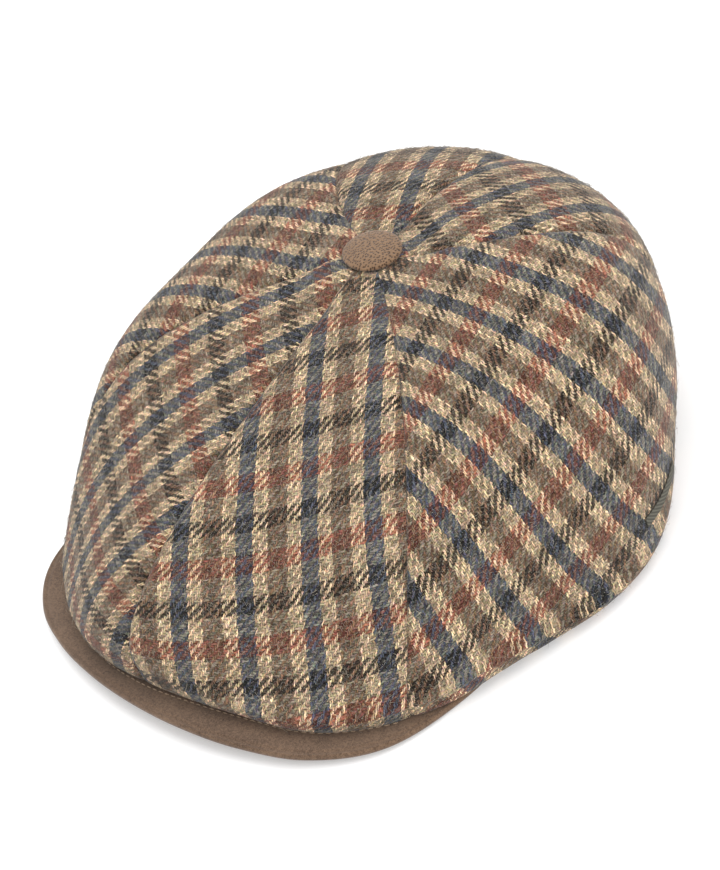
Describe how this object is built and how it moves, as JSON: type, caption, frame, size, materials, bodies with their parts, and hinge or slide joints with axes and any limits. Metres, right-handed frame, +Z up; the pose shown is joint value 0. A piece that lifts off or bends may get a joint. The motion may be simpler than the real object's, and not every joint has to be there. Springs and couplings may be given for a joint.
{
  "type": "flat cap",
  "caption": "Soft wool flat cap: a domed panelled crown over a stiff suede peak, with a covered button and a plain side label.",
  "frame": {"origin": "middle of the cap's length and width, on the surface it rests on", "axes": "-Y to the front with the peak, +X to the wearer's left, +Z up"},
  "size_m": [0.2596, 0.2779, 0.1057],
  "materials": {
    "wool_check": "woven wool tweed, checked, matte",
    "suede": "brown suede",
    "button_suede": "light brown suede",
    "label_cloth": "plain dark woven tape"
  },
  "bodies": {
    "root": {"front_panel_left": "wool_check", "front_panel_right": "wool_check", "side_panel_left": "wool_check", "side_panel_right": "wool_check", "back_panel_left": "wool_check", "back_panel_right": "wool_check", "peak": "suede", "button": "button_suede", "label": "label_cloth"}
  },
  "joints": []
}
